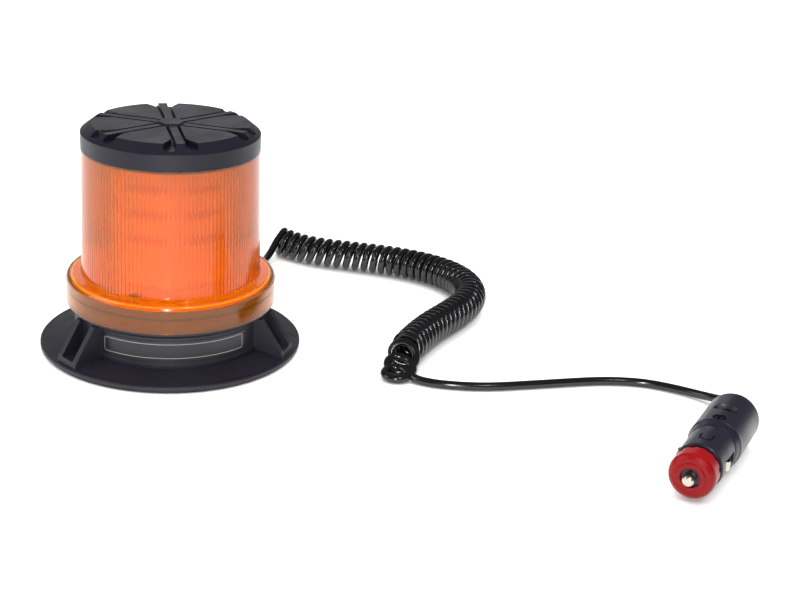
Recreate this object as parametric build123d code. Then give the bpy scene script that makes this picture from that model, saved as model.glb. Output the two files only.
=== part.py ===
from build123d import *
import math
import os

# Magnetic amber LED beacon with a curly supply cord and a two-way vehicle plug.
# Millimetres. The beacon stands on its rubber foot: origin at the foot's centre, +Z up, front at -Y.

os.makedirs("parts", exist_ok=True)

# ---- driving dimensions -------------------------------------------------------------------------
running_gap = 0.06        # radial gap of a sliding pin or sleeve
loose_gap = 0.3           # gap between pieces that are assembled by hand
screw_radius = 1.45       # M3 shank
screw_head_radius = 2.7
screw_head_height = 1.8
bolt_radius = 1.95        # M4 shank
thread_gap = 0.05         # from a screw's shank to its thread hole
hole_gap = 0.15           # from a screw's shank to its clearance hole

# base
base_radius = 66.0        # outer edge of the base flange
foot_thickness = 1.5      # rubber foot under the flange
rim_height = 2.0          # upright edge of the flange
wall_radius = 48.5        # upright wall of the base
wall_thickness = 2.5
wall_foot_height = 6.6    # where the flange's slope meets the wall
seat_height = 25.2        # shoulder that carries the lens
spigot_step = 1.2         # the ring that the lens collar slips over stands this far outside the wall
spigot_top = 36.0
web_thickness = 2.5
gusset_count = 3
gusset_turn = 2.5         # degrees from the front line
gusset_width = 15.3
gusset_slot_width = 9.3
label_azimuth = -2.0
label_arc = 91.0          # degrees
label_low = 9.6
label_high = 19.8

# magnet
magnet_radius = 40.0
magnet_bore_radius = 18.0
magnet_thickness = 9.0
yoke_overhang = 2.5       # the yoke is this much larger than the magnet
yoke_thickness = 2.0
bolt_circle = 10.0
foot_rib_inset = 10.0     # from the flange's edge in to the foot's locating rib

# lens
collar_wall = 2.6
collar_height = 14.8
collar_edge_radius = 3.4
lens_ledge = 7.8          # from the outside of the collar in to the lens wall
lens_draft = 0.9          # the lens wall leans in by this much up to the cap
lens_top = 103.7
lens_wall = 2.2
lug_height = 28.0
seal_section = 0.95       # radius of the O-ring's section
seal_height = 32.0

# cap
cap_overhang = 0.2        # the cap stands this far outside the lens
cap_band_height = 8.6
cap_shoulder_width = 5.3
cap_shoulder_height = 3.9
cap_plate_thickness = 3.0
cap_skirt_depth = 1.6
spoke_count = 6
spoke_turn = 2.5          # degrees from the front line

# light tower
tower_apothem = 23.5      # centre to a flat of the hexagonal tower
tower_wall = 2.0
tower_lid_thickness = 1.6
tower_screw_inset = 2.3   # from a flat of the tower in to its screw circle
harness_radius = 1.8
tower_head_room = 2.7     # from the tower's top to the lens's top edge
led_board_width = 24.0
led_board_thickness = 1.6
led_board_margin = 2.5    # the boards are this much shorter than the tower
led_first_row = 24.9      # above the deck
led_row_pitch = 12.8
led_row_count = 3
leds_per_row = 4
led_size = 3.4
led_pitch = 4.6

# electronics in the base
driver_board_radius = 35.4
driver_board_height = 29.5
driver_board_thickness = 1.6
board_screw_inset = 4.4
deck_screw_inset = 6.6    # from the base's room in to the deck's screws
deck_thickness = 1.5

# cord
cord_diameter = 4.2
coil_diameter = 18.4
gland_azimuth = 148.0     # degrees from the front, towards +X
gland_height = 18.7
relief_length = 22.0
gland_radius = 3.3
clamp_inset = 9.0         # from the base's room in to the cord clamp
clamp_reach = 5.6
clamp_height = 4.2

# plug, lying on its handle with its nose pointing to the front
handle_radius = 12.3
handle_length = 36.0
handle_chamfer = 4.0      # sloping step from the handle down to the neck
handle_wall = 2.4
plug_relief_tip = 5.5     # behind the handle
sheath_end = 8.0          # where the cord's sheath stops inside the handle
relief_hole = 3.0
handle_screw_station = 32.5
thumb_recess_station = 20.0
neck_socket = 10.0        # length of the neck held inside the handle
neck_radius = 10.9
neck_end = 61.4           # from the handle's back face
nose_radius = 6.0         # slim plug form, under the red adaptor
nose_end = 72.4
adaptor_radius = 10.5
adaptor_back = 61.8
adaptor_front = 74.0
adaptor_mouth_radius = 4.5
pin_radius = 2.65
pin_tip = 78.0
pin_travel = 3.0
pin_collar_length = 1.2
cavity_radius = 4.3       # round the fuse, the spring and the pin's collar
fuse_start = 27.4
fuse_end = 52.4
fuse_radius = 3.15
contact_width = 4.4
contact_root = 43.5
contact_crest = 53.0
contact_toe = 55.5
plug_back = (250.8, -140.1, handle_radius)
plug_heading = -128.0     # direction of the nose, degrees from +X

gasket_thickness = 0.8

screw_hole = screw_radius + hole_gap
yoke_radius = magnet_radius + yoke_overhang
web_height = foot_thickness + magnet_thickness + yoke_thickness      # underside of the base's floor
spigot_radius = wall_radius + spigot_step
collar_radius = spigot_radius + loose_gap + collar_wall
lens_foot_radius = collar_radius - lens_ledge
lens_top_radius = lens_foot_radius - lens_draft
cap_radius = lens_top_radius + cap_overhang
cap_shoulder_radius = cap_radius - cap_shoulder_width
floor_top = web_height + web_thickness
collar_top = seat_height + collar_height
room_radius = wall_radius - wall_thickness
deck_top = spigot_top + deck_thickness
tower_top = lens_top - tower_head_room
tower_height = tower_top - deck_top
led_rows = [deck_top + led_first_row + led_row_pitch * i for i in range(led_row_count)]
cap_band_top = lens_top + cap_band_height
cap_top = cap_band_top + cap_shoulder_height
board_top = driver_board_height + driver_board_thickness
board_screw_circle = driver_board_radius - board_screw_inset
deck_screw_circle = room_radius - deck_screw_inset
tower_screw_circle = tower_apothem - tower_screw_inset
clamp_circle = room_radius - clamp_inset
foot_rib_radius = base_radius - foot_rib_inset
seal_radius = spigot_radius - seal_section + loose_gap
relief_tip = wall_radius + 1.4 + relief_length
sleeve_radius = neck_radius - 1.6
screw_seat = handle_radius - 2.0
screw_grip = screw_seat - sleeve_radius      # handle wall under the screw's head
pin_collar_radius = cavity_radius - 0.2
spring_seat = nose_end - 4.0 - pin_travel
pin_rest = spring_seat - 0.02


# ---- shape helpers ------------------------------------------------------------------------------
def disc(radius, low, high, x=0.0, y=0.0):
    """Upright cylinder between two heights."""
    return Pos(x, y, (low + high) / 2) * Cylinder(radius, high - low)


def ring(outer, inner, low, high):
    return disc(outer, low, high) - disc(inner, low - 1, high + 1)


def block(size_x, size_y, low, high, x=0.0, y=0.0):
    return Pos(x, y, (low + high) / 2) * Box(size_x, size_y, high - low)


def turned(points, arc=360.0):
    """Solid turned about Z from its half section, a list of (radius, height)."""
    section = make_face(Polyline(*[(r, 0, z) for r, z in points], close=True).edges())
    return revolve(section, Axis.Z, arc)


def on_bearing(azimuth, shape):
    """Turn a shape made at the front (-Y) to an azimuth, counted towards +X."""
    return Rot(0, 0, azimuth) * shape


def bearing_point(azimuth, radius, height):
    angle = math.radians(azimuth)
    return (radius * math.sin(angle), -radius * math.cos(angle), height)


def around(count, shape, start=0.0):
    return [on_bearing(start + 360.0 / count * i, shape) for i in range(count)]


def save(shape, name):
    if isinstance(shape, (list, ShapeList)):
        shape = Compound(children=[s for part in shape for s in part.solids()])
    export_step(shape, "parts/" + name + ".step")


def pan_screw(shank, length, head, head_height):
    """Screw pointing down: the head's underside is at z = 0. A cross recess is cut in the head."""
    body = disc(head, 0, head_height) + disc(shank, -length, 0)
    body = fillet(body.edges().filter_by(GeomType.CIRCLE).sort_by(Axis.Z)[-1], head_height * 0.4)
    cross = block(head * 1.1, head * 0.28, head_height * 0.45, head_height + 1)
    return body - cross - Rot(0, 0, 90) * cross


def m3_screw(length):
    return pan_screw(screw_radius - thread_gap, length, screw_head_radius, screw_head_height)


def turn_radii(points):
    """Largest arc at each corner of a route, from its two runs and its turn."""
    vectors = [Vector(*b) - Vector(*a) for a, b in zip(points, points[1:])]
    radii = []
    for before, after in zip(vectors, vectors[1:]):
        half_turn = math.radians(before.get_angle(after) / 2)
        radii.append(0.45 * min(before.length, after.length) / math.tan(half_turn))
    return radii


def route_tube(points, diameter, name):
    """Tube along straight runs joined by arcs. Prints its radii and compares its volume."""
    radii = turn_radii(points)
    path = FilletPolyline(*points, radius=radii)
    section = Plane(origin=path @ 0, z_dir=path % 0) * Circle(diameter / 2)
    tube = sweep(section, path=path)
    expected = math.pi * diameter ** 2 / 4 * path.length
    print(name, "radii", [round(r, 1) for r in radii], "length", round(path.length, 1),
          "volume ratio", round(tube.volume / expected, 4))
    return tube


# ---- base ---------------------------------------------------------------------------------------
def gusset():
    """Sloped rib pair at the front, from the lens seat down to the flange, with a deep slot between."""
    low = foot_thickness + rim_height - 0.5
    side = make_face(Polyline((0, -room_radius - 1, low), (0, -room_radius - 1, seat_height - 2.5),
                              (0, -wall_radius - 3.4, seat_height - 2.5),
                              (0, -base_radius + 3.4, wall_foot_height),
                              (0, -base_radius + 2.2, low), close=True).edges())
    return extrude(side, gusset_width / 2, dir=(1, 0, 0), both=True)


def gusset_slot():
    return Pos(0, -wall_radius - 1.2, 0) * block(gusset_slot_width, 22, wall_foot_height - 0.4,
                                                  seat_height - 1.8, 0, -11)


def base_housing():
    floor_edge = yoke_radius + loose_gap
    shell = turned([
        (floor_edge, foot_thickness), (base_radius, foot_thickness),
        (base_radius, foot_thickness + rim_height - 0.5), (base_radius - 0.5, foot_thickness + rim_height),
        (base_radius - 3.0, foot_thickness + rim_height + 0.2), (wall_radius + 2.2, wall_foot_height),
        (wall_radius + 0.8, wall_foot_height - 0.5), (wall_radius + 0.8, wall_foot_height + 2.0),
        (wall_radius, wall_foot_height + 2.6), (wall_radius, seat_height - 3.6),
        (spigot_radius + 1.9, seat_height - 1.6), (spigot_radius + 1.9, seat_height),
        (spigot_radius, seat_height), (spigot_radius, spigot_top), (room_radius, spigot_top),
        (room_radius, floor_top), (0, floor_top), (0, web_height), (floor_edge, web_height)])
    for rib, slot in zip(around(gusset_count, gusset(), gusset_turn + 60),
                         around(gusset_count, gusset_slot(), gusset_turn + 60)):
        shell = shell + (rib - disc(room_radius + 0.5, 0, seat_height)) - slot
    # bosses under the driver board, the deck and over the yoke bolts
    board_boss = disc(3.2, floor_top, driver_board_height, 0, -board_screw_circle)
    board_boss -= disc(screw_radius, floor_top + 2, driver_board_height + 1, 0, -board_screw_circle)
    deck_boss = disc(3.6, floor_top, spigot_top, 0, -deck_screw_circle)
    deck_boss += block(2.4, room_radius - deck_screw_circle + 1, floor_top, spigot_top, 0,
                       -(room_radius + deck_screw_circle + 1) / 2)
    deck_boss -= disc(screw_radius, spigot_top - 12, spigot_top + 1, 0, -deck_screw_circle)
    bolt_boss = disc(4.6, floor_top, floor_top + 7, 0, -bolt_circle)
    for boss in around(3, board_boss, 90) + around(3, deck_boss, 90) + around(4, bolt_boss, 45):
        shell += boss
    for hole in around(4, disc(bolt_radius, web_height - 1, floor_top + 6, 0, -bolt_circle), 45):
        shell -= hole
    # groove for the lens seal, tracks for the lens lugs, cord hole, and the foot's locating groove
    shell -= ring(spigot_radius + 2, seal_radius - seal_section, seal_height - seal_section,
                  seal_height + seal_section)
    for track in around(3, lug_track(), 0):
        shell -= track
    hole = Pos(0, -wall_radius, gland_height) * Rot(90, 0, 0) * Cylinder(gland_radius, 16)
    collar_room = Pos(0, -wall_radius - 3, gland_height) * Rot(90, 0, 0) * Cylinder(gland_radius + 0.5, 8)
    shell -= on_bearing(gland_azimuth, hole + collar_room)
    shell -= ring(foot_rib_radius + 1.1, foot_rib_radius - 1.1, foot_thickness - 1, foot_thickness + 1.4)
    # cord rest and the two pillars of the cord clamp
    rest = block(8, 5, floor_top, gland_height - cord_diameter / 2, 0, -clamp_circle)
    pillar = block(5.4, 5.4, floor_top, gland_height, clamp_reach, -clamp_circle)
    pillar -= disc(screw_radius, floor_top - 0.5, gland_height + 1, clamp_reach, -clamp_circle)
    for piece in (rest, pillar, mirror(pillar, Plane.YZ)):
        shell += on_bearing(gland_azimuth, piece)
    return shell


def lug_track():
    """Bayonet track in the spigot: down from the top, then sideways."""
    depth = spigot_radius - 1.0
    drop = turned([(depth, lug_height - 1.2), (spigot_radius + 2, lug_height - 1.2),
                   (spigot_radius + 2, spigot_top + 1), (depth, spigot_top + 1)], 10.0)
    slide_way = turned([(depth, lug_height - 1.2), (spigot_radius + 2, lug_height - 1.2),
                        (spigot_radius + 2, lug_height + 1.2), (depth, lug_height + 1.2)], 20.0)
    return Rot(0, 0, 10) * drop + slide_way


def rubber_foot():
    foot = disc(base_radius - 0.8, 0, foot_thickness)
    foot = chamfer(foot.edges().sort_by(Axis.Z)[0], 0.5)
    rib = ring(foot_rib_radius + 0.9, foot_rib_radius - 0.9, foot_thickness - 0.5, foot_thickness + 1.3)
    return foot + rib


def magnet():
    top = web_height - yoke_thickness
    body = ring(magnet_radius, magnet_bore_radius, foot_thickness, top)
    return chamfer(body.edges().filter_by(GeomType.CIRCLE), 0.6)


def yoke():
    plate = disc(yoke_radius, web_height - yoke_thickness, web_height)
    for hole in around(4, disc(bolt_radius + 0.2, web_height - 3, web_height + 1, 0, -bolt_circle), 45):
        plate -= hole
    return plate


def yoke_bolts():
    bolt = Rot(180, 0, 0) * pan_screw(bolt_radius - 0.04, yoke_thickness + web_thickness + 5, 3.7, 2.4)
    return around(4, Pos(0, -bolt_circle, web_height - yoke_thickness) * bolt, 45)


def rating_label():
    """Blank film on the front of the wall."""
    film = 0.25
    return Rot(0, 0, label_azimuth - label_arc / 2 - 90) * turned([
        (wall_radius, label_low), (wall_radius + film, label_low), (wall_radius + film, label_high),
        (wall_radius, label_high)], label_arc)


save(base_housing(), "base_housing")
save(rating_label(), "rating_label")
save(rubber_foot(), "rubber_foot")
save(magnet(), "ring_magnet")
save(yoke(), "magnet_yoke")
save(yoke_bolts(), "yoke_bolts")


# ---- lens and cap -------------------------------------------------------------------------------
def lens():
    inner_collar = spigot_radius + loose_gap
    outside = [(collar_radius, seat_height), (collar_radius, collar_top - collar_edge_radius)]
    edge_steps = 6
    for i in range(1, edge_steps + 1):
        turn = math.pi / 2 * i / edge_steps
        outside.append((collar_radius - collar_edge_radius * (1 - math.cos(turn)),
                        collar_top - collar_edge_radius * (1 - math.sin(turn))))
    outside += [(lens_foot_radius + 0.8, collar_top), (lens_foot_radius, collar_top + 0.8),
                (lens_top_radius, lens_top)]
    inside = [(lens_top_radius - lens_wall, lens_top), (lens_foot_radius - lens_wall, collar_top - lens_wall),
              (inner_collar, collar_top - lens_wall), (inner_collar, seat_height)]
    shell = turned(outside + inside)
    lug = turned([(spigot_radius - 0.7, lug_height - 0.9), (inner_collar + 0.5, lug_height - 0.9),
                  (inner_collar + 0.5, lug_height + 0.9), (spigot_radius - 0.7, lug_height + 0.9)], 8.0)
    for piece in around(3, Rot(0, 0, 1) * lug, 0):
        shell += piece
    return shell


def lens_seal():
    return Pos(0, 0, seal_height) * Torus(seal_radius, seal_section)


def cap_gasket():
    inner = lens_top_radius - lens_wall + 0.2
    return ring(lens_top_radius - 0.2, inner, lens_top, lens_top + gasket_thickness)


def spoke_groove():
    """The two grooves beside one spoke's rib, each running out into a wide notch at the rim."""
    groove_floor = cap_top - 2.1
    notch_floor = cap_band_top + 1.0
    grooves = block(1.5, cap_radius - 16.6, groove_floor, cap_top + 2, 2.7, -cap_radius / 2 + 1.85)
    rim = cap_radius - 1.9
    notch = make_face(Polyline((1.95, -rim + 12.6), (3.45, -rim + 12.6), (5.2, -rim + 8.6), (7.6, -rim + 5.2),
                               (8.3, -rim + 2.6), (7.6, -rim + 0.6), (6.0, -rim), (3.0, -rim + 0.1),
                               (2.2, -rim + 1.4), close=True).edges())
    notch = Pos(0, 0, notch_floor) * extrude(notch, 6)
    return grooves + notch


def top_cap():
    skirt = lens_top_radius - lens_wall - loose_gap
    under = cap_top - cap_plate_thickness
    body = turned([
        (cap_radius, lens_top), (cap_radius, cap_band_top - 0.4), (cap_radius - 0.4, cap_band_top),
        (cap_shoulder_radius, cap_top), (0, cap_top), (0, under), (cap_shoulder_radius - 3.5, under),
        (skirt - 2.2, cap_band_top - 4), (skirt - 2.2, lens_top - cap_skirt_depth),
        (skirt, lens_top - cap_skirt_depth), (skirt, lens_top + gasket_thickness + 0.05),
        (lens_top_radius - 0.1, lens_top + gasket_thickness + 0.05), (lens_top_radius - 0.1, lens_top)])
    for side in around(spoke_count, spoke_groove(), spoke_turn):
        body -= side
    for side in around(spoke_count, mirror(spoke_groove(), Plane.YZ), spoke_turn):
        body -= side
    boss = Pos(0, 0, cap_top - 0.5) * extrude(RegularPolygon(6.9, 6), 1.3)
    return body + on_bearing(spoke_turn, chamfer(boss.edges().group_by(Axis.Z)[-1], 0.4))


save(lens(), "lens")
save(lens_seal(), "lens_seal")
save(cap_gasket(), "cap_gasket")
save(top_cap(), "top_cap")


# ---- light tower --------------------------------------------------------------------------------
def hexagon(apothem, low, height):
    face = RegularPolygon(apothem / math.cos(math.pi / 6), 6, rotation=30)
    return Pos(0, 0, low) * extrude(face, height)


def reflector_deck():
    deck = disc(spigot_radius - 0.2, spigot_top, deck_top) - disc(9, spigot_top - 1, deck_top + 1)
    for hole in around(3, disc(screw_hole, spigot_top - 1, deck_top + 1, 0, -deck_screw_circle), 90):
        deck -= hole
    for hole in around(3, disc(screw_hole, spigot_top - 1, deck_top + 1, 0, -tower_screw_circle), 60):
        deck -= hole
    return deck


def led_tower():
    column = hexagon(tower_apothem, deck_top, tower_height)
    column -= hexagon(tower_apothem - tower_wall, deck_top - 1, tower_height + 2)
    port = disc(3.6, deck_top, tower_top, 0, -tower_screw_circle) & hexagon(tower_apothem - 0.5, 0, tower_top)
    for shape in around(3, port, 60):
        column += shape
    for hole in around(3, disc(screw_radius, deck_top - 1, tower_top + 1, 0, -tower_screw_circle), 60):
        column -= hole
    return column


def tower_lid():
    lid = hexagon(tower_apothem + led_board_thickness + 0.6, tower_top, tower_lid_thickness)
    for hole in around(3, disc(screw_hole, tower_top - 1, tower_top + 3, 0, -tower_screw_circle), 60):
        lid -= hole
    return lid


def tower_screws():
    upper = m3_screw(tower_lid_thickness + 7)
    lower = Rot(180, 0, 0) * m3_screw(deck_thickness + 7)
    return (around(3, Pos(0, -tower_screw_circle, tower_top + tower_lid_thickness) * upper, 60)
            + around(3, Pos(0, -tower_screw_circle, spigot_top) * lower, 60))


def deck_screws():
    screw = m3_screw(deck_thickness + 7)
    return around(3, Pos(0, -deck_screw_circle, deck_top) * screw, 90)


def led_board():
    """One board at the front; its back lies on a flat of the tower."""
    bottom = deck_top + 0.8
    face = -tower_apothem - led_board_thickness / 2
    top = bottom + tower_height - led_board_margin
    return block(led_board_width, led_board_thickness, bottom, top, 0, face)


def led_packages():
    face = -tower_apothem - led_board_thickness
    packages = []
    for height in led_rows:
        for i in range(leds_per_row):
            x = (i - (leds_per_row - 1) / 2) * led_pitch
            body = Pos(x, face - 0.5, height) * Box(led_size, 1.0, led_size)
            dome = Pos(x, face - 1.0, height) * Sphere(led_size * 0.42)
            dome &= Pos(x, face - 2.0, height) * Box(led_size, 2.0, led_size)
            packages.append(body + dome)
    return packages


save(reflector_deck(), "reflector_deck")
save(led_tower(), "led_tower")
save(tower_lid(), "tower_lid")
save(tower_screws(), "tower_screws")
save(deck_screws(), "deck_screws")
for index in range(6):
    azimuth = 30 + 60 * index
    save(on_bearing(azimuth, led_board()), "led_board_%d" % (index + 1))
save([on_bearing(30 + 60 * i, package) for i in range(6) for package in led_packages()], "led_packages")


# ---- electronics in the base --------------------------------------------------------------------
def driver_board():
    board = disc(driver_board_radius, driver_board_height, board_top)
    for hole in around(3, disc(screw_hole, driver_board_height - 1, board_top + 1, 0,
                               -board_screw_circle), 90):
        board -= hole
    return board


def board_screws():
    screw = m3_screw(driver_board_thickness + 6)
    return around(3, Pos(0, -board_screw_circle, board_top) * screw, 90)


def capacitors():
    can = disc(4.0, driver_board_height - 9, driver_board_height)
    can = fillet(can.edges().filter_by(GeomType.CIRCLE).sort_by(Axis.Z)[0], 0.6)
    return [Pos(-12, -19, 0) * can, Pos(-22, -9, 0) * can]


def inductor():
    core = disc(6.0, driver_board_height - 6, driver_board_height, 20, -8)
    return chamfer(core.edges().filter_by(GeomType.CIRCLE).sort_by(Axis.Z)[0], 0.8)


def controller_chips():
    low = board_top
    return [block(7, 5, low, low + 1.4, -12, 10), block(5, 4, low, low + 1.4, 14, 12),
            block(5, 4, low, low + 1.4, 16, -12)]


def harness_socket():
    return block(9, 6, board_top, board_top + 3.0, 0, -6.0)


def tower_harness():
    """Wire bundle from the driver board up inside the tower."""
    points = [(0, -6.0, board_top + 3.0), (0, -6.0, deck_top + 8), (2.0, 0.5, deck_top + 22),
              (1.0, 3.0, deck_top + 36), (0.0, 1.0, tower_top - 13), (0.0, 1.0, tower_top)]
    return route_tube(points, 2 * harness_radius, "tower_harness")


def terminal_block():
    x, y, _ = bearing_point(gland_azimuth, clamp_circle - 11.0, 0)
    body = block(11, 7, driver_board_height - 7, driver_board_height)
    return Pos(x, y, 0) * Rot(0, 0, gland_azimuth) * body


def feed_wires():
    """Two cores from the end of the cord's sheath up into the terminal block."""
    wires = []
    start = -clamp_circle + 5.0
    for side in (-1.1, 1.1):
        points = [(side, start, gland_height), (side, start + 4.5, gland_height),
                  (side, start + 4.5, driver_board_height - 7)]
        path = FilletPolyline(*points, radius=1.6)
        section = Plane(origin=path @ 0, z_dir=path % 0) * Circle(0.8)
        wires.append(on_bearing(gland_azimuth, sweep(section, path=path)))
    return wires


save(driver_board(), "driver_board")
save(board_screws(), "board_screws")
save(capacitors(), "capacitors")
save(inductor(), "inductor")
save(controller_chips(), "controller_chips")
save(harness_socket(), "harness_socket")
save(tower_harness(), "tower_harness")
save(terminal_block(), "terminal_block")
save(feed_wires(), "feed_wires")


# ---- cord entry ---------------------------------------------------------------------------------
def along_gland(shape):
    """Place a shape made along +Z so that its axis runs outwards through the cord hole."""
    return on_bearing(gland_azimuth, Pos(0, 0, gland_height) * Rot(90, 0, 0) * shape)


def cord_gland():
    body = disc(gland_radius - 0.05, room_radius - 2.0, wall_radius + 1.0)
    body += disc(gland_radius + 0.4, room_radius - 2.6, room_radius - 0.4)
    collar = disc(gland_radius + 0.4, wall_radius - 1.0, wall_radius + 1.4)
    taper = Pos(0, 0, wall_radius + 1.4 + relief_length / 2) * Cone(3.5, 2.75, relief_length)
    body = along_gland(body + collar + taper)
    body -= along_gland(disc(cord_diameter / 2, room_radius - 5, relief_tip + 1))
    return body - base_housing_wall()


def base_housing_wall():
    """The part of the wall that the gland's two flanges bear on."""
    wall = ring(wall_radius, room_radius, floor_top, seat_height)
    return wall - along_gland(disc(gland_radius - 0.05, room_radius - 4, wall_radius + 4))


def cord_tail():
    return along_gland(disc(cord_diameter / 2, clamp_circle - 5.0, relief_tip))


def cord_clamp():
    width = 2 * clamp_reach + 5.4
    bar = block(width, 5.4, gland_height + 0.05, gland_height + clamp_height, 0, -clamp_circle)
    bar = on_bearing(gland_azimuth, bar) - along_gland(disc(cord_diameter / 2, 20, 60))
    for x in (-clamp_reach, clamp_reach):
        hole = disc(screw_hole, gland_height - 1, gland_height + 6, x, -clamp_circle)
        bar -= on_bearing(gland_azimuth, hole)
    return bar


def clamp_screws():
    screw = pan_screw(screw_radius - thread_gap, 6.5, 2.6, 1.6)
    return [on_bearing(gland_azimuth, Pos(x, -clamp_circle, gland_height + clamp_height) * screw)
            for x in (-clamp_reach, clamp_reach)]


save(cord_gland(), "cord_gland")
save(cord_tail(), "cord_tail")
save(cord_clamp(), "cord_clamp")
save(clamp_screws(), "clamp_screws")


# ---- cord ---------------------------------------------------------------------------------------
gland_exit = bearing_point(gland_azimuth, relief_tip, gland_height)
gland_ahead = bearing_point(gland_azimuth, relief_tip + 11, gland_height)
lead_in_route = [gland_exit, gland_ahead, (51.0, 82.0, 14.5), (56.5, 95.5, 6.5), (61.5, 110.5, 3.2),
                 (66.8, 122.0, 5.6), (69.5, 129.5, 9.6)]
coil_route = [(73.0, 133.0, 9.3), (80.0, 121.5, 9.3), (92.5, 110.5, 9.3), (108.6, 102.3, 9.3),
              (124.3, 95.0, 9.3), (139.5, 86.5, 9.3), (152.5, 76.0, 9.3), (163.0, 62.5, 9.3),
              (168.3, 46.0, 9.3), (167.0, 28.5, 9.3), (158.5, 12.5, 9.3), (146.0, -1.5, 9.3),
              (132.5, -16.0, 9.3), (120.5, -33.0, 9.3), (111.0, -49.0, 9.3), (105.5, -64.0, 9.3)]


def plug_point(station):
    """Point on the plug's axis, counted from the handle's back face towards the nose."""
    angle = math.radians(plug_heading)
    return (plug_back[0] + station * math.cos(angle), plug_back[1] + station * math.sin(angle), plug_back[2])


lead_out_route = [(104.5, -62.0, 3.4), (112.0, -68.0, 2.4), (126.0, -72.6, 2.15), (147.0, -76.2, 2.15),
                  (168.0, -75.4, 2.15), (190.0, -74.2, 2.15), (210.0, -73.6, 2.15), (228.5, -77.4, 2.2),
                  (241.5, -85.5, 2.2), (251.5, -95.0, 2.6), (258.0, -106.0, 4.6), (261.0, -117.0, 8.2),
                  (260.0, -127.0, 11.8), plug_point(-plug_relief_tip)]

save(route_tube(lead_in_route, cord_diameter, "cord_lead_in"), "cord_lead_in")
save(route_tube(coil_route, coil_diameter, "cord_coil"), "cord_coil")
save(route_tube(lead_out_route, cord_diameter, "cord_lead_out"), "cord_lead_out")


# ---- plug ---------------------------------------------------------------------------------------
# Built along +Z from the handle's back face, with the screw side at +X, then laid on its handle.
nose = math.radians(plug_heading)
plug_plane = Plane(origin=plug_back, x_dir=(0, 0, 1), z_dir=(math.cos(nose), math.sin(nose), 0))


def lay_plug(shape):
    return plug_plane.location * shape


def plug_handle():
    """Moulded grip: closed round the cord at the back, with a thumb recess and a screw well on top."""
    back_round = 4.0
    steps = 6
    outside = [(relief_hole, 0.0)]
    for i in range(steps + 1):
        turn = math.pi / 2 * i / steps
        outside.append((handle_radius - back_round * (1 - math.sin(turn)), back_round * (1 - math.cos(turn))))
    outside += [(handle_radius, handle_length - 0.3), (handle_radius - 0.3, handle_length),
                (neck_radius + 0.25, handle_length + handle_chamfer),
                (sleeve_radius, handle_length + handle_chamfer)]
    inner = handle_radius - handle_wall
    inside = [(sleeve_radius, handle_length - neck_socket), (inner, handle_length - neck_socket),
              (inner, 4.0), (relief_hole, 4.0)]
    body = turned(outside + inside)
    recess = Pos(handle_radius + 5.2, 0, thumb_recess_station) * scale(Sphere(9.0), (1.0, 1.0, 0.52))
    body -= recess
    body -= Pos(screw_seat + 4, 0, handle_screw_station) * Rot(0, 90, 0) * Cylinder(3.0, 8)
    return body - Pos(screw_seat, 0, handle_screw_station) * Rot(0, 90, 0) * Cylinder(screw_hole,
                                                                              2 * (screw_grip + 2))


def plug_screw():
    screw = pan_screw(screw_radius - thread_gap, screw_grip + 3.8, 2.6, 1.6)
    return Pos(screw_seat, 0, handle_screw_station) * Rot(0, 90, 0) * screw


def contact_slot():
    """Room in one flank of the barrel for a spring contact and its travel."""
    width = contact_width + 2 * loose_gap
    middle = (contact_root + contact_toe) / 2
    return Pos(0, neck_radius - 1.2, middle) * Box(width, 6.4, contact_toe - contact_root + 2.0)


def plug_neck():
    """Front body of the plug: a barrel, and the slim nose that carries the centre pin."""
    held = handle_length - neck_socket + 0.1
    sleeve = sleeve_radius - 0.02
    body = turned([
        (cavity_radius, held), (sleeve, held), (sleeve, handle_length + handle_chamfer + 0.1),
        (neck_radius, handle_length + handle_chamfer + 0.1),
        (neck_radius, neck_end - 0.6), (neck_radius - 0.6, neck_end), (nose_radius, neck_end),
        (nose_radius, nose_end - 0.5), (nose_radius - 0.5, nose_end), (pin_radius + running_gap, nose_end),
        (pin_radius + running_gap, spring_seat), (cavity_radius, spring_seat)])
    body -= contact_slot() + mirror(contact_slot(), Plane.XZ)
    body -= Pos(sleeve, 0, handle_screw_station) * Rot(0, 90, 0) * Cylinder(screw_radius, 8)
    # snap tongue: a U-shaped slit in the top of the barrel, open towards the handle
    slit_station = neck_end - 10.0
    outer = extrude(Plane.YZ * Pos(0, slit_station) * SlotOverall(9.0, 6.6, rotation=90), neck_radius + 2)
    inner = extrude(Plane.YZ * Pos(0, slit_station) * SlotOverall(7.0, 4.6, rotation=90), neck_radius + 2)
    slit = (outer - inner) & Pos(neck_radius, 0, slit_station + 2.0) * Box(2.4, 12, 8.0)
    return body - slit


def contact_pin():
    """Sprung centre pin, resting with its collar against the nose."""
    body = disc(pin_radius, pin_rest - 1.0, pin_tip)
    body = fillet(body.edges().filter_by(GeomType.CIRCLE).sort_by(Axis.Z)[-1], 1.5)
    return body + disc(pin_collar_radius, pin_rest - pin_collar_length, pin_rest)


def pin_spring():
    """Coil spring between the fuse's end cap and the pin's collar."""
    wire = 0.55
    low = fuse_end + wire
    height = pin_rest - pin_collar_length - wire - low
    helix = Helix(pitch=height / 6.0, height=height, radius=2.9)
    section = Plane(origin=helix @ 0, z_dir=helix % 0) * Circle(wire)
    return Pos(0, 0, low) * sweep(section, path=helix)


def fuse():
    """Glass cartridge fuse with two metal end caps."""
    cap_length = 5.5
    tube = disc(fuse_radius - 0.3, fuse_start + cap_length, fuse_end - cap_length)
    caps = [disc(fuse_radius, fuse_start, fuse_start + cap_length),
            disc(fuse_radius, fuse_end - cap_length, fuse_end)]
    return tube, caps


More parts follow.
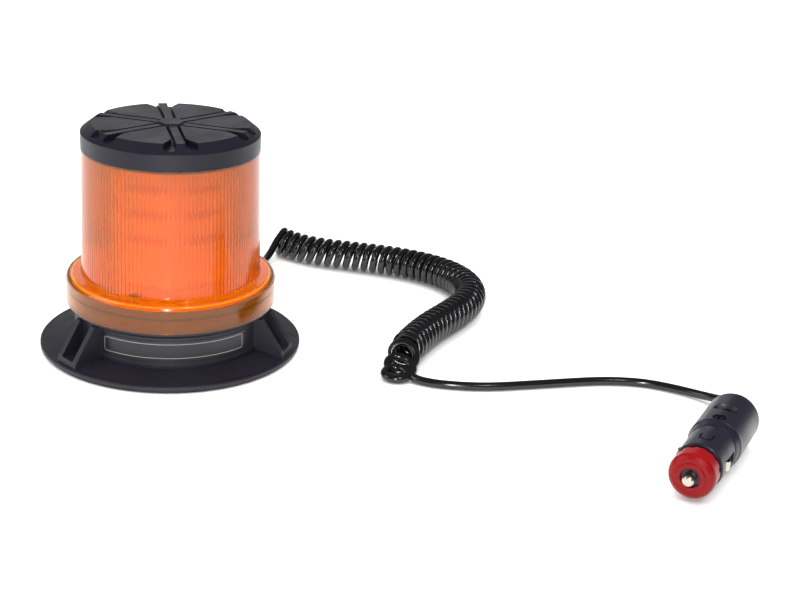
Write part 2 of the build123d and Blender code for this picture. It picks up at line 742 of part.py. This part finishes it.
def side_contact():
    """Bent strip: a root tab held in the barrel, a sloping leg, and a rounded crest that stands proud."""
    thick = 0.6
    inside = neck_radius - 2.4
    line = [(inside, contact_root - 0.6), (inside, contact_root + 2.0),
            (neck_radius + 0.9, contact_crest - 1.0), (neck_radius + 1.1, contact_crest),
            (neck_radius + 0.5, contact_crest + 1.4),
            (inside + 0.4, contact_toe - 0.4)]
    outline = line + [(y - thick, z - 0.1) for y, z in reversed(line)]
    face = make_face(Polyline(*[(0, y, z) for y, z in outline], close=True).edges())
    return extrude(face, contact_width / 2, dir=(1, 0, 0), both=True)


def adaptor():
    """Red push-on sleeve that turns the slim nose into the wide plug form."""
    bore = nose_radius + running_gap
    shoulder = adaptor_radius - 1.1
    outside = [(bore, adaptor_back), (shoulder, adaptor_back), (shoulder, adaptor_back + 1.9),
               (adaptor_radius, adaptor_back + 2.3), (adaptor_radius, adaptor_front - 3.2),
               (adaptor_radius - 0.6, adaptor_front - 1.9), (adaptor_radius - 2.0, adaptor_front - 0.9),
               (adaptor_mouth_radius + 2.3, adaptor_front - 0.7), (adaptor_mouth_radius + 1.9, adaptor_front),
               (adaptor_mouth_radius, adaptor_front)]
    body = turned(outside + [(adaptor_mouth_radius, nose_end + 0.1), (bore, nose_end + 0.1)])
    tooth_gap = block(2.2, 3.0, adaptor_back - 1, adaptor_back + 3.6, 0, -adaptor_radius - 0.4)
    for gap in around(12, tooth_gap, 15):
        body -= gap
    return body


def relief():
    """Rubber boot in the handle's back, gripping the cord."""
    body = disc(relief_hole - 0.05, -0.01, 4.0) + disc(relief_hole + 1.2, 4.0, 6.4)
    body += Pos(0, 0, -plug_relief_tip / 2) * Cone(2.75, 4.6, plug_relief_tip)
    return body - disc(cord_diameter / 2, -plug_relief_tip - 1, 8)


def plug_wires():
    """The cord's two cores: one to the fuse, one to the barrel's contact strip."""
    wires = []
    for points in ([(0.95, 0, sheath_end), (0.95, 0, 14), (0, 0, 21), (0, 0, fuse_start)],
                   [(-0.95, 0, sheath_end), (-0.95, 0, 12), (-6.4, 0, 20),
                    (-6.4, 0, handle_length - neck_socket + 0.1)]):
        path = FilletPolyline(*points, radius=3.0)
        wires.append(sweep(Plane(origin=path @ 0, z_dir=path % 0) * Circle(0.8), path=path))
    return wires


save(lay_plug(plug_handle()), "plug_handle")
save(lay_plug(plug_screw()), "plug_screw")
save(lay_plug(plug_neck()), "plug_neck")
save(lay_plug(contact_pin()), "contact_pin")
save(lay_plug(pin_spring()), "pin_spring")
fuse_tube, fuse_ends = fuse()
save(lay_plug(fuse_tube), "fuse_tube")
save([lay_plug(end) for end in fuse_ends], "fuse_caps")
save(lay_plug(side_contact()), "side_contact_left")
save(lay_plug(mirror(side_contact(), Plane.XZ)), "side_contact_right")
save(lay_plug(adaptor()), "adaptor")
save(lay_plug(relief()), "plug_relief")
save(lay_plug(disc(cord_diameter / 2, -plug_relief_tip, sheath_end)), "plug_cord_tail")
save([lay_plug(wire) for wire in plug_wires()], "plug_wires")
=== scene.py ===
import math

import bmesh
import bpy
from mathutils import Matrix, Vector


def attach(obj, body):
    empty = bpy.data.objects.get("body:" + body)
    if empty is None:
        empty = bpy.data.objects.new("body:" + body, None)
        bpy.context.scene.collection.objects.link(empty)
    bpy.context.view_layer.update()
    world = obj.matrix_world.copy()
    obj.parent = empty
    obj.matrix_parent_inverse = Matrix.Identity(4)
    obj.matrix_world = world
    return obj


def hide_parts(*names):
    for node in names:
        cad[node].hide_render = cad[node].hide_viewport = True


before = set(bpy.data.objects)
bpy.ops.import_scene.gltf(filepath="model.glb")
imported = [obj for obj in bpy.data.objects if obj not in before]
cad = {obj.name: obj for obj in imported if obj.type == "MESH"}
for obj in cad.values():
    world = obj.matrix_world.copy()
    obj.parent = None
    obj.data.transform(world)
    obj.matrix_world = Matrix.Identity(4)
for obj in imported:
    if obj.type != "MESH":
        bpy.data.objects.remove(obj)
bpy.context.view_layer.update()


# ---- Camera, floor and light --------------------------------------------------------------------
# A long lens above the beacon, turned a little to the right and rolled by a few degrees, over a pale
# floor. The light is soft: a large panel overhead, weaker ones at both sides and behind, and in front
# a narrow strip and a small lamp, which draw highlights.
turn, tilt, roll = -0.2258, 0.3668, 0.0554
view = (Matrix.Rotation(turn, 3, "Z") @ Matrix.Rotation(math.pi / 2 - tilt, 3, "X")
        @ Matrix.Rotation(roll, 3, "Z"))
camera = bpy.data.objects.new("camera", bpy.data.cameras.new("camera"))
bpy.context.scene.collection.objects.link(camera)
camera.location = (-0.0525, -0.7507, 0.3153)
camera.rotation_euler = view.to_euler()
camera.data.sensor_width = 36
camera.data.lens = 70.2
camera.data.clip_start = 0.01
bpy.context.scene.camera = camera


def colour(text):
    """An sRGB hex colour as the linear values, with full alpha, that shader sockets take."""
    parts = [int(text[i:i + 2], 16) / 255 for i in (1, 3, 5)]
    return [c / 12.92 if c <= 0.04045 else ((c + 0.055) / 1.055) ** 2.4 for c in parts] + [1.0]


def node(tree, kind, inputs=(), **settings):
    """Adds a shader node with settings by name. Each of its inputs takes a socket's link or a value."""
    made = tree.nodes.new("ShaderNode" + kind)
    for key, value in settings.items():
        if hasattr(made, key):
            setattr(made, key, value)
        else:
            made.inputs[key.replace("_", " ")].default_value = value
    for key, source in dict(inputs).items():
        if isinstance(source, bpy.types.NodeSocket):
            tree.links.new(source, made.inputs[key])
        else:
            made.inputs[key].default_value = source
    return made


def new_material(name, **principled):
    """A material, its node tree and its Principled shader, with values set on the shader's sockets."""
    material = bpy.data.materials.new(name)
    material.use_nodes = True
    shader = material.node_tree.nodes["Principled BSDF"]
    for key, value in principled.items():
        shader.inputs[key.replace("_", " ")].default_value = value
    return material, material.node_tree, shader


def wear_material(piece, material):
    """Gives a piece one material in place of any it has."""
    piece.data.materials.clear()
    piece.data.materials.append(material)


floor_side = 8
floor_depth = 0.0002            # just under the foot, so that the two faces don't share a plane
paper_grains_per_metre = 900    # a grain of 1.1 mm
bpy.ops.object.select_all(action="DESELECT")
bpy.ops.mesh.primitive_plane_add(size=floor_side, location=(0, 0, -floor_depth))
floor = bpy.context.object
floor.name = "floor"
paper, tree, shader = new_material("floor_paper", Base_Color=colour("#F4F4F4"), Roughness=0.9)
grain = node(tree, "TexNoise", {"Vector": node(tree, "TexCoord").outputs["Object"]},
             Scale=paper_grains_per_metre)
relief = node(tree, "Bump", {"Height": grain.outputs["Fac"]}, Strength=0.03, Distance=0.0001)
tree.links.new(relief.outputs["Normal"], shader.inputs["Normal"])
wear_material(floor, paper)

# each lamp's name, place, aim, width, height and power, and whether shiny surfaces mirror it
for name, place, aim, width, height, watts, mirrored in (
        ("overhead_panel", (0.1, 0.1, 1.4), (0.1, 0, 0), 2.4, 2.4, 54, False),
        ("front_strip", (-0.155, -1.0, 0.36), (0, 0, 0.06), 0.06, 0.5, 7.0, True),
        ("left_panel", (-1.1, -0.1, 0.55), (0, 0, 0.05), 0.7, 0.9, 5, True),
        ("right_panel", (1.2, 0.3, 0.6), (0.1, 0, 0.05), 0.5, 0.9, 4, False),
        ("back_panel", (0.1, 1.6, 0.62), (0, 0, 0.1), 1.8, 0.45, 2.0, True),
        ("sparkle", (0.35, -1.1, 1.25), (0.12, 0.05, 0), 0.16, 0.16, 3.5, True)):
    lamp = bpy.data.objects.new(name, bpy.data.lights.new(name, "AREA"))
    bpy.context.scene.collection.objects.link(lamp)
    lamp.data.shape, lamp.data.size, lamp.data.size_y = "RECTANGLE", width, height
    lamp.data.energy = watts
    lamp.location = place
    lamp.rotation_euler = (Vector(aim) - Vector(place)).to_track_quat("-Z", "Y").to_euler()
    lamp.visible_glossy = mirrored
room = bpy.data.worlds.new("room")
room.use_nodes = True
room.node_tree.nodes["Background"].inputs["Color"].default_value = (1, 1, 1, 1)
room.node_tree.nodes["Background"].inputs["Strength"].default_value = 0.18
bpy.context.scene.world = room
bpy.context.scene.view_settings.view_transform = "Standard"


# ---- Curly cord ---------------------------------------------------------------------------------
# A two-core 4.2 mm polyurethane cord, glossy black. Most of it was wound on a mandrel and heat set,
# so it lies as a springy coil, and both ends are left straight: one into the gland, one to the plug.
cord_diameter = 0.0042
gland_lead = [(0.0381, 0.0610, 0.0187), (0.0439, 0.0703, 0.0187), (0.0510, 0.0820, 0.0145),
              (0.0565, 0.0955, 0.0065), (0.0615, 0.1090, 0.0030), (0.0665, 0.1178, 0.0050),
              (0.0708, 0.1244, 0.0099)]
coil_axis = [(0.0730, 0.1330, 0.0093), (0.0800, 0.1215, 0.0093), (0.0925, 0.1105, 0.0093),
             (0.1086, 0.1023, 0.0093), (0.1243, 0.0950, 0.0093), (0.1395, 0.0865, 0.0093),
             (0.1525, 0.0760, 0.0093), (0.1630, 0.0625, 0.0093), (0.1683, 0.0460, 0.0093),
             (0.1670, 0.0285, 0.0093), (0.1585, 0.0125, 0.0093), (0.1460, -0.0015, 0.0093),
             (0.1325, -0.0160, 0.0093), (0.1205, -0.0330, 0.0093), (0.1110, -0.0490, 0.0093),
             (0.1055, -0.0640, 0.0093)]
plug_lead = [(0.1145, -0.0628, 0.0023), (0.1185, -0.0664, 0.00215), (0.1270, -0.0712, 0.00215),
             (0.1470, -0.0760, 0.00215), (0.1680, -0.0754, 0.00215), (0.1900, -0.0742, 0.00215),
             (0.2100, -0.0736, 0.00215), (0.2285, -0.0774, 0.0022), (0.2415, -0.0855, 0.0022),
             (0.2515, -0.0950, 0.0026), (0.2580, -0.1060, 0.0046), (0.2610, -0.1170, 0.0082),
             (0.2600, -0.1270, 0.0118), (0.2542, -0.1358, 0.0123)]


def smooth_line(name, points):
    """A curve object of one open NURBS spline through the control points, with no bevel."""
    data = bpy.data.curves.new(name, "CURVE")
    data.dimensions = "3D"
    spline = data.splines.new("NURBS")
    spline.points.add(len(points) - 1)
    for point, place in zip(spline.points, points):
        point.co = (*place, 1)
    spline.order_u = 3
    spline.use_endpoint_u = True
    spline.resolution_u = 12
    made = bpy.data.objects.new(name, data)
    bpy.context.scene.collection.objects.link(made)
    return made


def points_along(line):
    """Points of a bevel-less curve in order, with the distance to each along it."""
    mesh = bpy.data.meshes.new_from_object(line)
    places = [v.co.copy() for v in mesh.vertices]
    travel = [0.0]
    for a, b in zip(places, places[1:]):
        travel.append(travel[-1] + (b - a).length)
    bpy.data.meshes.remove(mesh)
    return places, travel


def place_at(places, travel, distance):
    """The point at a distance along a line, and the line's direction there."""
    i = 1
    while i < len(travel) - 1 and travel[i] < distance:
        i += 1
    direction = (places[i] - places[i - 1]).normalized()
    return places[i - 1] + direction * (distance - travel[i - 1]), direction


def eased(value):
    """A smooth rise from 0 to 1 as the value goes from 0 to 1, level on both sides of that."""
    value = min(1.0, max(0.0, value))
    return value * value * (3 - 2 * value)


guide = smooth_line("coil_guide", coil_axis)
places, travel = points_along(guide)
bpy.data.objects.remove(guide)
coil_length = travel[-1]

turn_points = 14
helix_radius, tighter, widening_share = 0.0070, 0.0004, 0.6     # the coil widens over its first part
first_pitch, closing, closing_share = 0.0058, 0.0011, 0.5       # and its turns close up
first_turn = Vector((0.878, -0.300, -0.375))    # the pull of the lead turns and tips the first coils
pull_reach = 0.095
first_angle, last_angle = math.radians(35), math.radians(-33)
close_to_last = 0.97            # the cosine of the angle that is left when the winding may stop
start_room, end_room = 0.0012, 0.005
last_lean, fall_start, fall_reach = math.radians(-82), 0.031, 0.026
opening, opening_start, opening_reach = 0.0026, 0.036, 0.016    # the last turns stand further apart
resting_height = cord_diameter / 2 + 0.0001
winding = []
distance, angle = start_room, first_angle
while distance < coil_length - end_room or math.cos(angle - last_angle) < close_to_last:
    middle, ahead = place_at(places, travel, distance)
    pull = 1 - eased(distance / pull_reach)
    ahead = (ahead * (1 - pull) + first_turn * pull).normalized()
    side = ahead.cross(Vector((0, 0, 1))).normalized()
    up = side.cross(ahead)
    # the last turns fall back one after another until the last lies flat on the floor
    lean = last_lean * eased((distance - coil_length + fall_start) / fall_reach)
    leaning_up = math.cos(lean) * up + math.sin(lean) * ahead
    share = distance / coil_length
    radius = helix_radius - tighter * (1 - eased(share / widening_share))
    middle.z = resting_height + radius * abs(leaning_up.z)
    winding.append(middle + radius * (math.cos(angle) * leaning_up + math.sin(angle) * side))
    pitch = first_pitch - closing * eased(share / closing_share)
    pitch += opening * eased((distance - coil_length + opening_start) / opening_reach)
    distance += pitch / turn_points
    angle -= 2 * math.pi / turn_points

cord = smooth_line("curly_cord", gland_lead + [tuple(p) for p in winding] + plug_lead)
wound = points_along(cord)[1][-1]
cord.data.splines[0].resolution_u = 3
cord.data.bevel_depth = cord_diameter / 2
cord.data.bevel_resolution = 4
cord_grains_per_metre = 1400    # a grain of 0.7 mm, coarser than the real one, so that it shows
cord_skin, tree, shader = new_material("cord_polyurethane", Base_Color=colour("#08080A"),
                                       Roughness=0.18, IOR=1.52)
grain = node(tree, "TexNoise", {"Vector": node(tree, "TexCoord").outputs["Object"]},
             Scale=cord_grains_per_metre, Detail=3.0)
gloss = node(tree, "MapRange", {"Value": grain.outputs["Fac"]}, To_Min=0.12, To_Max=0.24)
tree.links.new(gloss.outputs["Result"], shader.inputs["Roughness"])
relief = node(tree, "Bump", {"Height": grain.outputs["Fac"]}, Strength=0.08, Distance=0.0001)
tree.links.new(relief.outputs["Normal"], shader.inputs["Normal"])
wear_material(cord, cord_skin)
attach(cord, "beacon")
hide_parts("cord_lead_in", "cord_coil", "cord_lead_out")


# ---- Lens ---------------------------------------------------------------------------------------
# One moulding in clear amber polycarbonate: a foot collar with a round shoulder that slips over the
# base, and a thin wall with fine upright flutes on its inside. It is held by lugs and the cap.
lens_foot, lens_ledge, lens_rim = 0.0252, 0.0400, 0.1037        # heights above the floor
collar_radius, collar_bore, shoulder, bore_chamfer = 0.0526, 0.0498, 0.0034, 0.001
wall_foot, wall_rim, wall_thickness = 0.0448, 0.0439, 0.0022    # the wall leans in a little
root_fillet = 0.0008
plain_rim, rim_draft = 0.0018, 0.00002
flute_foot = 0.0012             # how far above the ledge the flutes start
flute_count = 132
flute_depth = 0.00075
flute_radius = 0.0424           # the wall's inside, between its foot and its rim
inside_limit = 0.0432           # everything nearer to the axis than this is the wall's inside


def new_profile(name, points):
    """Starts a piece in edit mode as a row of edges in the XZ plane, each extruded from the last."""
    bpy.ops.object.select_all(action="DESELECT")
    bpy.ops.mesh.primitive_plane_add(size=0.001, location=(0, 0, 0))
    piece = bpy.context.object
    piece.name = piece.data.name = name
    bpy.ops.object.mode_set(mode="EDIT")
    bpy.ops.mesh.select_all(action="SELECT")
    bpy.ops.mesh.merge(type="CENTER")
    bpy.ops.transform.translate(value=(points[0][0], 0, points[0][1]))
    for before, after in zip(points, points[1:]):
        bpy.ops.mesh.extrude_region_move(
            TRANSFORM_OT_translate={"value": (after[0] - before[0], 0, after[1] - before[1])})
    return piece


def spin_profile(steps):
    """Spins the edges about Z, closes the seam, points the faces outwards and leaves edit mode."""
    bpy.ops.mesh.select_all(action="SELECT")
    bpy.ops.mesh.spin(steps=steps, angle=2 * math.pi, center=(0, 0, 0), axis=(0, 0, 1))
    bpy.ops.mesh.select_all(action="SELECT")
    bpy.ops.mesh.remove_doubles(threshold=0.000002)
    bpy.ops.mesh.normals_make_consistent(inside=False)
    bpy.ops.mesh.select_all(action="DESELECT")
    bpy.ops.object.mode_set(mode="OBJECT")


def rounded(centre, radius, start, end, steps):
    """Points of a quarter round in a profile, about its centre, between two angles in degrees."""
    return [(centre[0] + radius * math.cos(math.radians(start + (end - start) * i / steps)),
             centre[1] + radius * math.sin(math.radians(start + (end - start) * i / steps)))
            for i in range(steps + 1)]


under_ledge = lens_ledge - wall_thickness
outside = [(collar_radius, lens_foot)]
outside += rounded((collar_radius - shoulder, lens_ledge - shoulder), shoulder, 0, 90, 8)
outside += rounded((wall_foot + root_fillet, lens_ledge + root_fillet), root_fillet, 270, 180, 3)
outside += [(wall_rim, lens_rim)]
inside = [(wall_rim - wall_thickness, lens_rim),
          (wall_rim - wall_thickness + rim_draft, lens_rim - plain_rim),
          (wall_foot - wall_thickness, lens_ledge + flute_foot),
          (wall_foot - wall_thickness, under_ledge), (collar_bore - bore_chamfer, under_ledge),
          (collar_bore, under_ledge - bore_chamfer), (collar_bore, lens_foot), (collar_radius, lens_foot)]
amber_lens = new_profile("amber_lens", outside + inside)
spin_profile(2 * flute_count)

# every second step of the wall's inside is drawn in towards the axis
flutes = bmesh.new()
flutes.from_mesh(amber_lens.data)
for v in flutes.verts:
    on_wall = math.hypot(v.co.x, v.co.y) < inside_limit and lens_ledge < v.co.z < lens_rim - plain_rim / 2
    step = round((math.atan2(v.co.y, v.co.x) % (2 * math.pi)) / (math.pi / flute_count))
    v.select = on_wall and step % 2 == 0
flutes.select_flush_mode()
flutes.to_mesh(amber_lens.data)
flutes.free()
bpy.ops.object.select_all(action="DESELECT")
amber_lens.select_set(True)
bpy.context.view_layer.objects.active = amber_lens
bpy.ops.object.mode_set(mode="EDIT")
drawn_in = 1 - flute_depth / flute_radius
bpy.ops.transform.resize(value=(drawn_in, drawn_in, 1), center_override=(0, 0, 0))
bpy.ops.object.mode_set(mode="OBJECT")
bpy.ops.object.shade_smooth_by_angle(angle=math.radians(40))
waves_per_metre = 220           # the moulded skin is a little wavy, at 4.5 mm
amber, tree, shader = new_material("amber_polycarbonate", Base_Color=colour("#D28202"), Roughness=0.12,
                                   IOR=1.5, Transmission_Weight=0.9, Specular_IOR_Level=0.1)
waves = node(tree, "TexNoise", {"Vector": node(tree, "TexCoord").outputs["Object"]},
             Scale=waves_per_metre, Detail=3.0)
gloss = node(tree, "MapRange", {"Value": waves.outputs["Fac"]}, From_Min=0.3, From_Max=0.7,
             To_Min=0.09, To_Max=0.17)
tree.links.new(gloss.outputs["Result"], shader.inputs["Roughness"])
relief = node(tree, "Bump", {"Height": waves.outputs["Fac"]}, Strength=0.1, Distance=0.0002)
tree.links.new(relief.outputs["Normal"], shader.inputs["Normal"])

# light passes straight through to the tower and the floor, tinted amber, so neither is in black shade
rays = node(tree, "LightPath")
through = node(tree, "BsdfTransparent", Color=colour("#F0B060"))
mixer = node(tree, "MixShader", {0: rays.outputs["Is Shadow Ray"], 1: shader.outputs["BSDF"],
                                 2: through.outputs["BSDF"]})
tree.links.new(mixer.outputs["Shader"], tree.nodes["Material Output"].inputs["Surface"])
wear_material(amber_lens, amber)
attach(amber_lens, "beacon")
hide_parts("lens")


# ---- Black mouldings: base housing, cap and plug ------------------------------------------------
# Glass-filled nylon from textured moulds: near black and satin, with a fine spark-eroded grain and
# slightly rounded edges. The cap is a little smoother than the base, and the plug than the cap.
drifts_per_metre = 60           # the roughness drifts over patches of some 17 mm


def surface(name, tint, rough, grain_mm, depth_mm, edge_mm=0.3, shade=0.1, **principled):
    """An opaque skin with a fine grain in height and shade, softened edges, and roughness that drifts."""
    material, tree, shader = new_material(name, Base_Color=colour(tint), Roughness=sum(rough) / 2,
                                          **principled)
    coords = node(tree, "TexCoord").outputs["Object"]
    fine = node(tree, "TexNoise", {"Vector": coords}, Scale=1000 / grain_mm, Detail=4.0)
    broad = node(tree, "TexNoise", {"Vector": coords}, Scale=drifts_per_metre, Detail=3.0)
    level = node(tree, "MapRange", {"Value": broad.outputs["Fac"]}, From_Min=0.3, From_Max=0.7,
                 To_Min=rough[0], To_Max=rough[1])
    tree.links.new(level.outputs["Result"], shader.inputs["Roughness"])
    value = node(tree, "MapRange", {"Value": fine.outputs["Fac"]}, From_Min=0.3, From_Max=0.7,
                 To_Min=1 - shade, To_Max=1 + shade)
    tone = node(tree, "HueSaturation", {"Value": value.outputs["Result"]}, Color=colour(tint))
    tree.links.new(tone.outputs["Color"], shader.inputs["Base Color"])
    edge = node(tree, "Bevel", samples=4, Radius=edge_mm / 1000)
    relief = node(tree, "Bump", {"Height": fine.outputs["Fac"], "Normal": edge.outputs["Normal"]},
                  Strength=0.35, Distance=depth_mm / 1000)
    tree.links.new(relief.outputs["Normal"], shader.inputs["Normal"])
    return material


def dress(material, *names):
    """Gives one material to each of the CAD nodes named."""
    for name in names:
        wear_material(cad[name], material)


dress(surface("base_nylon", "#12111B", (0.44, 0.58), 0.5, 0.06, 0.5), "base_housing", "cord_clamp")
dress(surface("cap_nylon", "#12111B", (0.34, 0.46), 0.5, 0.04, 0.4, Specular_IOR_Level=0.3), "top_cap")
dress(surface("plug_nylon", "#14131F", (0.30, 0.42), 0.4, 0.04, 0.35, Specular_IOR_Level=0.4),
      "plug_handle", "plug_neck")


# ---- Rating label -------------------------------------------------------------------------------
# A blank black polyester film stuck round the front of the wall. A thin pale border with round
# corners is screen printed a little inside its edge.
film_black, ink_grey = "#17171B", "#8E8C90"
border_bearing, border_height = math.radians(-2.0), 0.0147      # its middle, from the front and the floor
border_half_width, border_half_height, border_corner = 0.0368, 0.0036, 0.0012
film_radius = 0.0485
ink_width = 0.00034
film = surface("label_film", film_black, (0.26, 0.36), 0.8, 0.01)
tree = film.node_tree
place = node(tree, "SeparateXYZ", {"Vector": node(tree, "TexCoord").outputs["Object"]})
front = node(tree, "Math", {0: place.outputs["Y"], 1: -1.0}, operation="MULTIPLY")
bearing = node(tree, "Math", {0: place.outputs["X"], 1: front.outputs[0]}, operation="ARCTAN2")

# how far a point lies past the straight part of the border, round the film and up it
past = []
for source, middle, metres, half in (
        (bearing.outputs[0], border_bearing, film_radius, border_half_width),
        (place.outputs["Z"], border_height, 1.0, border_half_height)):
    shift = node(tree, "Math", {0: source, 1: middle}, operation="SUBTRACT")
    size = node(tree, "Math", {0: shift.outputs[0]}, operation="ABSOLUTE")
    length = node(tree, "Math", {0: size.outputs[0], 1: metres}, operation="MULTIPLY")
    beyond = node(tree, "Math", {0: length.outputs[0], 1: half - border_corner}, operation="SUBTRACT")
    kept = node(tree, "Math", {0: beyond.outputs[0], 1: 0.0}, operation="MAXIMUM")
    past.append(kept.outputs[0])
pair = node(tree, "CombineXYZ", {"X": past[0], "Y": past[1]})
gap = node(tree, "VectorMath", {0: pair.outputs["Vector"]}, operation="LENGTH")
line = node(tree, "Math", {0: gap.outputs["Value"], 1: border_corner, 2: ink_width / 2},
            operation="COMPARE")
ink = node(tree, "Mix", {"Factor": line.outputs[0], 6: colour(film_black), 7: colour(ink_grey)},
           data_type="RGBA")
tree.links.new(ink.outputs[2], tree.nodes["Principled BSDF"].inputs["Base Color"])
dress(film, "rating_label")


# ---- Rubber parts: foot, seals, gland and the plug's boot ---------------------------------------
# Moulded black EPDM and nitrile rubber: matt, with a fine dusty bloom. The ends of the cord that the
# gland and the boot hold have the cord's own skin.
dress(surface("moulded_rubber", "#131313", (0.56, 0.7), 0.35, 0.05, 0.3, 0.2),
      "rubber_foot", "lens_seal", "cap_gasket", "cord_gland", "plug_relief")
dress(cord_skin, "cord_tail", "plug_cord_tail")


# ---- Light tower --------------------------------------------------------------------------------
# White-lacquered aluminium column on a white moulded deck, with a white lid and six white LED boards.
# The LEDs are ceramic packages under yellow phosphor domes, and the harness socket is white too.
board_count = 6
dress(surface("white_moulding", "#F1F0EA", (0.36, 0.46), 0.5, 0.03, shade=0.02),
      "reflector_deck", "tower_lid", "harness_socket")
dress(surface("tower_lacquer", "#EDEDEA", (0.3, 0.42), 0.9, 0.03, shade=0.02), "led_tower")
dress(surface("board_mask_white", "#F4F3EC", (0.26, 0.34), 0.6, 0.01, 0.15, 0.03),
      *("led_board_%d" % (i + 1) for i in range(board_count)))
dress(surface("led_phosphor", "#D9B93A", (0.28, 0.42), 0.15, 0.01, 0.15, 0.06), "led_packages")


# ---- Electronics in the base, and the wires -----------------------------------------------------
# A green fibreglass driver board with sleeved aluminium capacitors, a ferrite choke, epoxy-cased chips
# and a grey polyamide terminal block. The wires in the base and in the plug have PVC covers.
for name, material in (
        ("driver_board", surface("board_mask_green", "#17502C", (0.28, 0.4), 0.9, 0.02, 0.1, 0.12)),
        ("capacitors", surface("capacitor_sleeve", "#2B2E48", (0.25, 0.35), 0.4, 0.01, 0.4, 0.06)),
        ("inductor", surface("choke_ferrite", "#2C2A2A", (0.5, 0.65), 0.25, 0.05, 0.3, 0.2)),
        ("controller_chips", surface("chip_epoxy", "#161617", (0.42, 0.55), 0.12, 0.01, 0.1, 0.1)),
        ("terminal_block", surface("terminal_polyamide", "#8B8F90", (0.4, 0.52), 0.4, 0.03, 0.2, 0.05)),
        ("tower_harness", surface("harness_sleeve", "#1D1C1E", (0.4, 0.55), 0.3, 0.06, 0.1, 0.15)),
        ("feed_wires", surface("core_red", "#8E1A16", (0.3, 0.42), 0.6, 0.01, 0.1, 0.06)),
        ("plug_wires", surface("core_brown", "#4A2618", (0.3, 0.42), 0.6, 0.01, 0.1, 0.06))):
    dress(material, name)


# ---- Plug adaptor -------------------------------------------------------------------------------
# The push-on sleeve that makes the slim plug fit a wide socket. It is moulded in slightly translucent
# red polycarbonate, so light spreads a little under its surface.
dress(surface("red_polycarbonate", "#7A0308", (0.26, 0.36), 0.5, 0.02, 0.3, 0.06, Specular_IOR_Level=0.2,
              Subsurface_Weight=0.3, Subsurface_Scale=0.002, Subsurface_Radius=(1.0, 0.04, 0.03)),
      "adaptor")


# ---- Magnet, fuse and metal parts ---------------------------------------------------------------
# A pressed ferrite ring on a zinc-plated steel yoke; zinc-plated screws and spring, and a blacked one
# in the plug; nickel-plated brass contacts, and fuse caps of the same on a drawn glass tube.
dress(surface("magnet_ferrite", "#343436", (0.5, 0.66), 0.3, 0.06, 0.5, 0.15), "ring_magnet")
dress(surface("bright_nickel", "#B9B3A6", (0.2, 0.34), 0.3, 0.01, 0.2, 0.04, Metallic=1.0),
      "contact_pin", "side_contact_left", "side_contact_right", "fuse_caps")
dress(surface("zinc_plate", "#A9ABAE", (0.28, 0.42), 0.4, 0.02, 0.2, 0.06, Metallic=1.0),
      "tower_screws", "deck_screws", "board_screws", "clamp_screws", "yoke_bolts", "magnet_yoke",
      "pin_spring")
dress(surface("blacked_steel", "#26262A", (0.34, 0.46), 0.3, 0.02, 0.2, 0.1, Metallic=1.0), "plug_screw")
ripples_per_metre = 120         # drawn glass is a little uneven, at 8 mm
glass, tree, shader = new_material("fuse_glass", Base_Color=colour("#F2F6F4"), Roughness=0.04, IOR=1.5,
                                   Transmission_Weight=0.95)
ripple = node(tree, "TexNoise", {"Vector": node(tree, "TexCoord").outputs["Object"]},
              Scale=ripples_per_metre, Detail=2.0)
relief = node(tree, "Bump", {"Height": ripple.outputs["Fac"]}, Strength=0.05, Distance=0.0002)
tree.links.new(relief.outputs["Normal"], shader.inputs["Normal"])
dress(glass, "fuse_tube")
